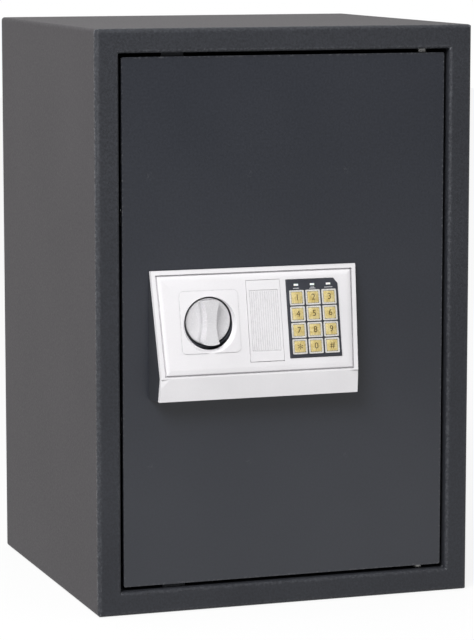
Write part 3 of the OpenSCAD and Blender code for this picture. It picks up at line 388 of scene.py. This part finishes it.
# a lighter painted shade between the ribs
finishes["ribSilver"] = {**finishes["silver"], "creviceTone": 0.74}
finishes["innerPaint"] = {**finishes["graphite"], "wearWidth": 0.0012, "wearShare": 0.45}
paint = {name: finish(name + "Finish", s) for name, s in finishes.items()}
for name, node in nodes.items():
    node.data.materials.clear()
    node.data.materials.append(paint[slotOf[name]])
    node.data.polygons.foreach_set("material_index", [0] * len(node.data.polygons))
print("finishes made:", len(paint))


# shapes from the CAD nodes, with the small radii that moulding and folding leave

weld = 1e-6
flatTo = math.radians(0.4)  # faces closer than this to one plane become one face


def cadCopy(name):
    form = bmesh.new()
    form.from_mesh(nodes[name].data)
    bmesh.ops.remove_doubles(form, verts=form.verts, dist=weld)
    bmesh.ops.dissolve_limit(form, angle_limit=flatTo, verts=form.verts, edges=form.edges)
    return form


def softenEdges(form, width, segments, limit=28):
    # rounds every edge that turns by more than the limit, in degrees
    sharp = [e for e in form.edges if len(e.link_faces) == 2
             and abs(e.calc_face_angle_signed(0)) > math.radians(limit)]
    bmesh.ops.bevel(form, geom=sharp, offset=width, segments=segments, profile=0.5,
                    affect="EDGES", clamp_overlap=True)


def meshOf(form, name, smoothTo=35):
    mesh = bpy.data.meshes.new(name)
    form.normal_update()
    form.to_mesh(mesh)
    form.free()
    mesh.shade_smooth()
    mesh.set_sharp_from_angle(angle=math.radians(smoothTo))
    return mesh


def addPiece(name, mesh, finishName, body, slotName, replaces=(), flatten=True):
    # a piece without a body is left unattached
    piece = bpy.data.objects.new(name, mesh)
    scene.collection.objects.link(piece)
    if not mesh.materials:
        mesh.materials.append(paint[finishName])
    if flatten:
        piece.modifiers.new("evenShading", "WEIGHTED_NORMAL").keep_sharp = True
    if body:
        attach(piece, body)
    if replaces:
        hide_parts(*replaces)
    return piece


roundedParts = {
    # node: (width of the rounding in mm, segments, finish)
    "panel_bezel": (0.45, 3, "silver"),
    "face_plate": (0.5, 3, "silver"),
    "key_cover": (0.14, 2, "ribSilver"),
    "knob": (0.9, 4, "knobSilver"),
    "keypad_base": (0.3, 2, "black"),
    "key_frames": (0.16, 2, "key_frame"),
    # painted shade: the dish behind the knob is black so that the ring gap round the knob reads
    # dark
    "knob_dish": (0.25, 2, "black"),
    "panel_housing": (0.5, 2, "wedge"),
    "door_plate": (0.5, 3, "doorPaint"),
    "status_lenses": (0.25, 2, "lens"),
    "front_frame": (0.3, 2, "graphite"),
    "cabinet_wrap": (0.3, 2, "wrapPaint"),
    "back_panel": (0.7, 3, "wrapPaint"),
    "shelf": (0.5, 3, "innerPaint"),
    "shelf_brackets": (0.4, 2, "innerPaint"),
    "stop_tabs": (0.6, 2, "innerPaint"),
    "hinge_blocks": (0.6, 3, "innerPaint"),
    "hinge_pins": (0.4, 2, "zinc"),
    "hinge_washers": (0.2, 2, "zinc"),
    "inner_cover": (0.35, 2, "innerPaint"),
    "battery_box": (0.4, 2, "black"),
    "battery_lid": (0.35, 2, "black"),
    "reset_switch": (0.3, 2, "black"),
    "reset_button": (0.6, 3, "red"),
    "override_barrel": (0.35, 2, "zinc"),
    "override_plug": (0.2, 2, "brass"),
    "barrel_nut": (0.5, 2, "zinc"),
    "spindle_bush": (0.25, 2, "brass"),
    "knob_spindle": (0.3, 2, "zinc"),
    "drive_cam": (0.3, 2, "zinc"),
    "guide_studs": (0.3, 2, "zinc"),
    "bolt_guides": (0.3, 2, "zinc"),
    "bolt_carriage": (0.3, 2, "zinc"),
    "bolt_upper": (0.4, 2, "zinc"),
    "bolt_lower": (0.4, 2, "zinc"),
    "bolt_nuts": (0.5, 2, "zinc"),
    "solenoid_frame": (0.3, 2, "zinc"),
    "solenoid_plunger": (0.4, 2, "zinc"),
    "keypad_board": (0.15, 1, "board"),
}
keyNames = ["1", "2", "3", "4", "5", "6", "7", "8", "9", "star", "0", "hash"]
roundedParts.update({"key_" + name: (0.55, 3, "gold_key") for name in keyNames})


def pieceName(node, ending="Part"):
    words = node.split("_")
    return words[0] + "".join(w.capitalize() for w in words[1:]) + ending


for node, (width, segments, finishName) in roundedParts.items():
    form = cadCopy(node)
    softenEdges(form, width * mm, segments)
    name = pieceName(node)
    addPiece(name, meshOf(form, name), finishName, nodes[node]["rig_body"], slotOf[node], [node])
print("rounded parts made:", len(roundedParts))


# what repeats or follows a path grows in geometry nodes

def startTree(name, *inputs):
    tree = bpy.data.node_groups.new(name, "GeometryNodeTree")
    tree.interface.new_socket("Geometry", in_out="INPUT", socket_type="NodeSocketGeometry")
    for label, kind in inputs:
        tree.interface.new_socket(label, in_out="INPUT", socket_type="NodeSocket" + kind)
    tree.interface.new_socket("Geometry", in_out="OUTPUT", socket_type="NodeSocketGeometry")
    return tree, tree.nodes.new("NodeGroupInput").outputs


def endTree(tree, geometry, material):
    real = place(tree, "GeometryNodeRealizeInstances", {"Geometry": geometry})
    painted = place(tree, "GeometryNodeSetMaterial", {"Geometry": real.outputs[0],
                                                      "Material": material})
    tree.links.new(painted.outputs[0], tree.nodes.new("NodeGroupOutput").inputs[0])


def grow(tree, name, values, points=()):
    # runs a node tree on the given points and returns the finished plain mesh
    seed = bpy.data.meshes.new(name + "Seed")
    seed.from_pydata(points, [], [])
    holder = bpy.data.objects.new(name, seed)
    scene.collection.objects.link(holder)
    grower = holder.modifiers.new("grow", "NODES")
    grower.node_group = tree
    for socket in tree.interface.items_tree:
        if socket.in_out == "INPUT" and socket.name in values:
            grower[socket.identifier] = values[socket.name]
    graph = bpy.context.evaluated_depsgraph_get()
    mesh = bpy.data.meshes.new_from_object(holder.evaluated_get(graph))
    bpy.data.objects.remove(holder)
    mesh.name = name
    return mesh


# wound wire: springs and the solenoid's winding

def coilTree():
    tree, given = startTree("woundWire", ("Turns", "Float"), ("Start Radius", "Float"),
                            ("End Radius", "Float"), ("Length", "Float"), ("Wire", "Float"),
                            ("Steps", "Int"), ("Sides", "Int"), ("Foot", "Vector"),
                            ("Finish", "Material"))
    path = place(tree, "GeometryNodeCurveSpiral", {
        "Resolution": given["Steps"], "Rotations": given["Turns"], "Height": given["Length"],
        "Start Radius": given["Start Radius"], "End Radius": given["End Radius"]})
    ring = place(tree, "GeometryNodeCurvePrimitiveCircle", {
        "Resolution": given["Sides"], "Radius": times(tree, given["Wire"], 0.5)})
    tube = place(tree, "GeometryNodeCurveToMesh", {
        "Curve": path.outputs[0], "Profile Curve": ring.outputs[0], "Fill Caps": True})
    smooth = place(tree, "GeometryNodeSetShadeSmooth", {"Geometry": tube.outputs[0]})
    moved = place(tree, "GeometryNodeTransform", {"Geometry": smooth.outputs[0],
                                                  "Translation": given["Foot"]})
    endTree(tree, moved.outputs[0], given["Finish"])
    return tree


windings = {
    "solenoidWinding": {"node": "solenoid_coil", "turns": 39.0, "wire": 0.8, "steps": 40,
                        "sides": 6, "finish": "copper"},
    "plungerSpring": {"node": "plunger_spring", "turns": 4.5, "wire": 0.7, "steps": 36,
                      "sides": 10, "finish": "zinc"},
}
coilGrower = coilTree()
for name, s in windings.items():
    low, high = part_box(s["node"])
    wire = s["wire"] * mm
    centre = (low + high) / 2
    radius = (high.x - low.x) / 2 - wire / 2
    mesh = grow(coilGrower, name, {
        "Turns": s["turns"], "Start Radius": radius, "End Radius": radius, "Wire": wire,
        "Length": high.z - low.z - wire, "Steps": s["steps"], "Sides": s["sides"],
        "Foot": (centre.x, centre.y, low.z + wire / 2), "Finish": paint[s["finish"]]})
    if name == "plungerSpring":  # its lower end goes down with the plunger's clip in the object; here it is only left without a body
        spring = addPiece(name, mesh, s["finish"], None, "zinc", [s["node"]], flatten=False)
        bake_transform(spring)
    else:
        addPiece(name, mesh, s["finish"], "door", "copper", [s["node"]], flatten=False)


# turned shapes: a profile of (radius, height) pairs in mm, from the bottom up

def turned(form, profile, centre, sides):
    rings = []
    for radius, height in profile:
        if radius == 0:
            rings.append([form.verts.new(centre + Vector((0, 0, height * mm)))])
            continue
        rings.append([form.verts.new(centre + Vector((
            radius * mm * math.cos(2 * math.pi * i / sides),
            radius * mm * math.sin(2 * math.pi * i / sides), height * mm)))
            for i in range(sides)])
    for low, high in zip(rings, rings[1:]):
        for i in range(sides):
            j = (i + 1) % sides
            corners = [low[i % len(low)], low[j % len(low)],
                       high[j % len(high)], high[i % len(high)]]
            form.faces.new(list(dict.fromkeys(corners)))
    if rings[0] is not rings[-1] and len(rings[0]) > 1:  # a bored shape closes on itself
        for i in range(sides):
            j = (i + 1) % sides
            form.faces.new([rings[-1][i], rings[-1][j], rings[0][j], rings[0][i]])
    bmesh.ops.recalc_face_normals(form, faces=form.faces)


bobbin = {"bore": 4.25, "core": 10.7, "sides": 48}
low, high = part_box("solenoid_coil")
length = (high.z - low.z) / mm
form = bmesh.new()
turned(form, [(bobbin["bore"], 0), (bobbin["core"], 0), (bobbin["core"], length),
              (bobbin["bore"], length)],
       Vector(((low.x + high.x) / 2, (low.y + high.y) / 2, low.z)), bobbin["sides"])
addPiece("solenoidCore", meshOf(form, "solenoidCore"), "black", "door", "copper")

cells = {"places": (-1.5, -0.5, 0.5, 1.5), "pitch": 15.8, "sides": 40,
         "profile": [(0, 0), (4.6, 0), (5.0, 0.35), (6.4, 0.35), (7.0, 0.5), (7.25, 0.9),
                     (7.25, 47.9), (7.0, 48.5), (6.4, 48.7), (3.6, 48.7), (3.4, 49.0),
                     (2.75, 49.0), (2.75, 50.0), (2.45, 50.3), (0, 50.3)]}
low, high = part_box("batteries")
cellRow = Vector(((low.x + high.x) / 2, (low.y + high.y) / 2, low.z))
form = bmesh.new()
for step in cells["places"]:
    turned(form, cells["profile"], cellRow + Vector((step * cells["pitch"] * mm, 0, 0)),
           cells["sides"])
addPiece("batteryCells", meshOf(form, "batteryCells"), "cell", "door", "cell", ["batteries"])

contacts = {"plate": 9.5, "thick": 0.6, "turns": 4.0, "wide": 3.6, "narrow": 2.4, "wire": 0.7,
            "dome": 2.6, "tip": 1.6, "tipGap": 0.02, "drawn": 0.2, "sunk": 0.1, "domeSides": 24,
            "steps": 24, "sides": 8, "edge": 0.12}
low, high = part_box("battery_contacts")
form = bmesh.new()
for step in cells["places"]:
    x = cellRow.x + step * cells["pitch"] * mm
    for z in (low.z, high.z - contacts["thick"] * mm):
        made = bmesh.ops.create_cube(form, size=1)["verts"]
        bmesh.ops.scale(form, vec=(contacts["plate"] * mm,) * 2 + (contacts["thick"] * mm,),
                        verts=made)
        bmesh.ops.translate(form, verts=made,
                            vec=(x, cellRow.y, z + contacts["thick"] * mm / 2))
softenEdges(form, contacts["edge"] * mm, 2)
for step in cells["places"]:
    x = cellRow.x + step * cells["pitch"] * mm
    top = high.z - contacts["thick"] * mm
    tip = contacts["tipGap"] - ((top - cellRow.z) / mm - cells["profile"][-1][1])
    turned(form, [(0, tip), (contacts["tip"], tip), (contacts["dome"], -contacts["drawn"]),
                  (contacts["dome"], contacts["sunk"]), (0, contacts["sunk"])],
           Vector((x, cellRow.y, top)), contacts["domeSides"])
    gap = cellRow.z - low.z - contacts["thick"] * mm
    mesh = grow(coilGrower, "contactSpring", {
        "Turns": contacts["turns"], "Start Radius": contacts["wide"] * mm,
        "End Radius": contacts["narrow"] * mm, "Wire": contacts["wire"] * mm,
        "Length": gap - contacts["wire"] * mm, "Steps": contacts["steps"],
        "Sides": contacts["sides"],
        "Foot": (x, cellRow.y, low.z + (contacts["thick"] + contacts["wire"] / 2) * mm),
        "Finish": paint["zinc"]})
    form.from_mesh(mesh)
addPiece("batteryContactSet", meshOf(form, "batteryContactSet"), "zinc", "door", "zinc",
         ["battery_contacts"], flatten=False)
print("windings, cells and contacts made")


# screws with a cross recess

def screwTree():
    tree, given = startTree("crossScrews", ("Blank", "Object"), ("Cutter", "Object"),
                            ("Seed", "Int"), ("Facing", "Rotation"), ("Finish", "Material"))
    blank = place(tree, "GeometryNodeObjectInfo", {"Object": given["Blank"]})
    cutter = place(tree, "GeometryNodeObjectInfo", {"Object": given["Cutter"]})
    cut = place(tree, "GeometryNodeMeshBoolean", {
        "Mesh 1": blank.outputs["Geometry"], "Mesh 2": cutter.outputs["Geometry"]},
        operation="DIFFERENCE")
    turn = place(tree, "FunctionNodeRandomValue", {2: 0.0, 3: math.pi, "Seed": given["Seed"]},
                 data_type="FLOAT")
    spun = place(tree, "FunctionNodeEulerToRotation", {0: combine(tree, z=turn.outputs[1])})
    facing = place(tree, "FunctionNodeRotateRotation", {0: given["Facing"], 1: spun.outputs[0]},
                   rotation_space="LOCAL")
    spread = place(tree, "GeometryNodeInstanceOnPoints", {
        "Points": given["Geometry"], "Instance": cut.outputs[0], "Rotation": facing.outputs[0]})
    endTree(tree, spread.outputs[0], given["Finish"])
    return tree


panHead = {"sides": 36, "point": (0.35, 0.4),  # the shank's chamfer, across and up
           # shares of the head's radius and height, up its crown
           "crown": [(1, 0.4), (0.96, 0.58), (0.85, 0.8), (0.66, 0.94), (0.4, 1), (0, 1)],
           "arm": 0.24, "recessFoot": 0.64, "recessTop": 1.2}


def screwBlank(s):
    # a pan head with its underside at height 0
    head, shank, foot = s["head"] / 2, s["shank"] / 2, -s["length"]
    inward, upward = panHead["point"]
    form = bmesh.new()
    turned(form, [(0, foot), (shank - inward, foot), (shank, foot + upward), (shank, 0), (head, 0)]
           + [(across * head, up * s["height"]) for across, up in panHead["crown"]],
           Vector(), panHead["sides"])
    return form


def crossPrism(s):
    long, short = s["recess"] / 2, s["recess"] * panHead["arm"] / 2
    quarter = [(long, -short), (long, short), (short, short)]
    form = bmesh.new()
    rings = []
    for share in (panHead["recessFoot"], panHead["recessTop"]):
        height = share * s["height"]
        rings.append([form.verts.new(Vector((x * c - y * n, x * n + y * c, height)) * mm)
                      for c, n in ((1, 0), (0, 1), (-1, 0), (0, -1)) for x, y in quarter])
    low, high = rings
    form.faces.new(low[::-1])
    form.faces.new(high)
    for i, v in enumerate(low):
        j = (i + 1) % len(low)
        form.faces.new([v, low[j], high[j], high[i]])
    return form


screwSets = {
    # in mm; the places are read off each node's own loose parts
    "cover_screws": {"head": 8, "height": 2.4, "shank": 4, "length": 4.2, "recess": 4.4, "seed": 3},
    "panel_screws": {"head": 8, "height": 2.4, "shank": 4, "length": 6.0, "recess": 4.4, "seed": 8},
}


def looseParts(form):
    # yields the vertices of one connected part after another
    left = set(form.verts)
    while left:
        part, edge = set(), [left.pop()]
        while edge:
            v = edge.pop()
            part.add(v)
            for e in v.link_edges:
                other = e.other_vert(v)
                if other in left:
                    left.discard(other)
                    edge.append(other)
        yield part


screwGrower = screwTree()
for node, s in screwSets.items():
    form = cadCopy(node)
    spots = []
    for part in looseParts(form):
        xs, ys, zs = zip(*(v.co for v in part))
        spots.append(((min(xs) + max(xs)) / 2, max(ys) - s["height"] * mm,
                      (min(zs) + max(zs)) / 2))
    form.free()
    name = pieceName(node)
    patterns = []
    for label, form in (("blank", screwBlank(s)), ("cutter", crossPrism(s))):
        pattern = bpy.data.objects.new(label, meshOf(form, label))
        scene.collection.objects.link(pattern)
        patterns.append(pattern)
    mesh = grow(screwGrower, name, {
        "Blank": patterns[0], "Cutter": patterns[1], "Seed": s["seed"],
        "Facing": (-math.pi / 2, 0, 0), "Finish": paint["zinc"]}, sorted(spots))
    for pattern in patterns:
        bpy.data.objects.remove(pattern)
    mesh.set_sharp_from_angle(angle=math.radians(30))
    addPiece(name, mesh, "zinc", "door", "zinc", [node])
print("screws made")


# key legends, drawn on the domed caps

facePlan = {"tilt": math.atan2(18, 90), "centreY": -163, "centreZ": 250.5,
            "firstRow": 18.2, "rowPitch": 14, "keyTop": 4.0, "dome": 22}
legendLook = {"size": 7.4, "starSize": 11, "starDrop": 2.3, "rise": 0.07, "sink": 0.03,
              "signs": ["1", "2", "3", "4", "5", "6", "7", "8", "9", "*", "0", "#"]}


def onFace(x, up, out):
    # a point on the panel's sloping face: mm across, up along it and out of it
    c, s = math.cos(facePlan["tilt"]), math.sin(facePlan["tilt"])
    return Vector((x * mm, (facePlan["centreY"] - out * c + up * s) * mm,
                   (facePlan["centreZ"] + out * s + up * c) * mm))


def legendTree():
    tree, given = startTree("keyLegend", ("Sign", "String"), ("Size", "Float"), ("Rise", "Float"),
                            ("Dome Radius", "Float"), ("Drop", "Float"), ("Place", "Vector"),
                            ("Tilt", "Float"), ("Finish", "Material"))
    letters = place(tree, "GeometryNodeStringToCurves", {"String": given["Sign"],
                                                         "Size": given["Size"]},
                    align_x="CENTER", align_y="MIDDLE")
    lines = place(tree, "GeometryNodeRealizeInstances", {"Geometry": letters.outputs[0]})
    flat = place(tree, "GeometryNodeFillCurve", {"Curve": lines.outputs[0]}, mode="TRIANGLES")
    centred = place(tree, "GeometryNodeTransform", {
        "Geometry": flat.outputs[0],
        "Translation": combine(tree, y=times(tree, given["Drop"], -1.0))})
    fine = place(tree, "GeometryNodeSubdivideMesh", {"Mesh": centred.outputs[0], "Level": 2})
    raised = place(tree, "GeometryNodeExtrudeMesh", {"Mesh": fine.outputs[0],
                                                     "Offset Scale": given["Rise"],
                                                     "Individual": False}, mode="FACES")
    base = place(tree, "GeometryNodeFlipFaces", {"Mesh": fine.outputs[0]})
    whole = place(tree, "GeometryNodeJoinGeometry", {"Geometry": raised.outputs[0]})
    tree.links.new(base.outputs[0], whole.inputs[0])
    whole = place(tree, "GeometryNodeMergeByDistance", {"Geometry": whole.outputs[0],
                                                        "Distance": 1e-7})
    spot = place(tree, "GeometryNodeInputPosition").outputs[0]
    split = place(tree, "ShaderNodeSeparateXYZ", {0: spot})
    reach = times(tree, times(tree, split.outputs[0], split.outputs[0]),
                  times(tree, split.outputs[1], split.outputs[1]), "ADD")
    drop = times(tree, times(tree, reach, given["Dome Radius"], "DIVIDE"), -0.5)
    bent = place(tree, "GeometryNodeSetPosition", {"Geometry": whole.outputs[0],
                                                   "Offset": combine(tree, z=drop)})
    lean = place(tree, "FunctionNodeEulerToRotation", {
        0: combine(tree, x=times(tree, math.pi / 2, given["Tilt"], "SUBTRACT"))})
    moved = place(tree, "GeometryNodeTransform", {"Geometry": bent.outputs[0],
                                                  "Translation": given["Place"],
                                                  "Rotation": lean.outputs[0]})
    endTree(tree, moved.outputs[0], given["Finish"])
    return tree


legendGrower = legendTree()
for i, (name, sign) in enumerate(zip(keyNames, legendLook["signs"])):
    low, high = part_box("key_" + name)
    across = (low.x + high.x) / 2 / mm
    up = facePlan["firstRow"] - i // 3 * facePlan["rowPitch"]
    star = sign == "*"  # it is small and sits high in its line
    drop = legendLook["starDrop"] if star else 0.0
    size = legendLook["starSize" if star else "size"]
    mesh = grow(legendGrower, "legend" + name.capitalize(), {
        "Sign": sign, "Size": size * mm, "Rise": legendLook["rise"] * mm,
        "Dome Radius": facePlan["dome"] * mm, "Tilt": facePlan["tilt"],
        "Drop": drop * mm, "Place": onFace(across, up, facePlan["keyTop"] - legendLook["sink"]),
        "Finish": paint["keyInk"]})
    addPiece("legend" + name.capitalize(), mesh, "keyInk", "key_" + name, "gold_key",
             flatten=False)
print("key legends made")


# plain pale bars stand for the captions under the three lenses

captions = {
    # middle across, middle up, width and height, in mm on the face
    "bars": [(6.0, 26.4, 5.2, 0.55), (20.9, 26.9, 3.6, 0.5), (20.9, 25.9, 5.6, 0.5),
             (35.6, 26.4, 7.4, 0.55)],
    "front": 2.5, "rise": 0.05, "sink": 0.05,
}
form = bmesh.new()
for across, up, wide, high in captions["bars"]:
    made = bmesh.ops.create_cube(form, size=1)["verts"]
    for v in made:
        out = captions["front"] + (captions["rise"] if v.co.z > 0 else -captions["sink"])
        v.co = onFace(across + v.co.x * wide, up + v.co.y * high, out)
addPiece("lensCaptions", meshOf(form, "lensCaptions"), "paleInk", "door", "key_frame")
print("captions made")


# the felt mat, cut into small cells so that it lies a little unevenly

matLook = {"cell": 5.5, "edge": 0.9, "lift": 0.45, "waver": 0.35, "scale": 16, "fine": 75,
           "fineShare": 0.4, "seed": 4}
# without a seed the vector noise follows the clock
noise.seed_set(matLook["seed"])
low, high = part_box("floor_mat")
form = cadCopy("floor_mat")
softenEdges(form, matLook["edge"] * mm, 3)
for axis in (0, 1):
    normal = Vector((1, 0, 0) if axis == 0 else (0, 1, 0))
    at = low[axis] + matLook["cell"] * mm
    while at < high[axis] - matLook["cell"] * mm / 2:
        spot = Vector((low + high) / 2)
        spot[axis] = at
        bmesh.ops.bisect_plane(form, geom=form.verts[:] + form.edges[:] + form.faces[:],
                               plane_co=spot, plane_no=normal, dist=1e-7)
        at += matLook["cell"] * mm
for v in form.verts:
    share = (v.co.z - low.z) / (high.z - low.z)
    wave = (noise.noise(v.co * matLook["scale"])
            + matLook["fineShare"] * noise.noise(v.co * matLook["fine"]))
    push = noise.noise_vector(v.co * matLook["fine"])
    v.co += Vector((push.x * matLook["waver"], push.y * matLook["waver"],
                    wave * matLook["lift"])) * share * mm
mat = addPiece("floorMat", meshOf(form, "floorMat"), "felt", "cabinet", "felt", ["floor_mat"],
               flatten=False)
print("mat made")
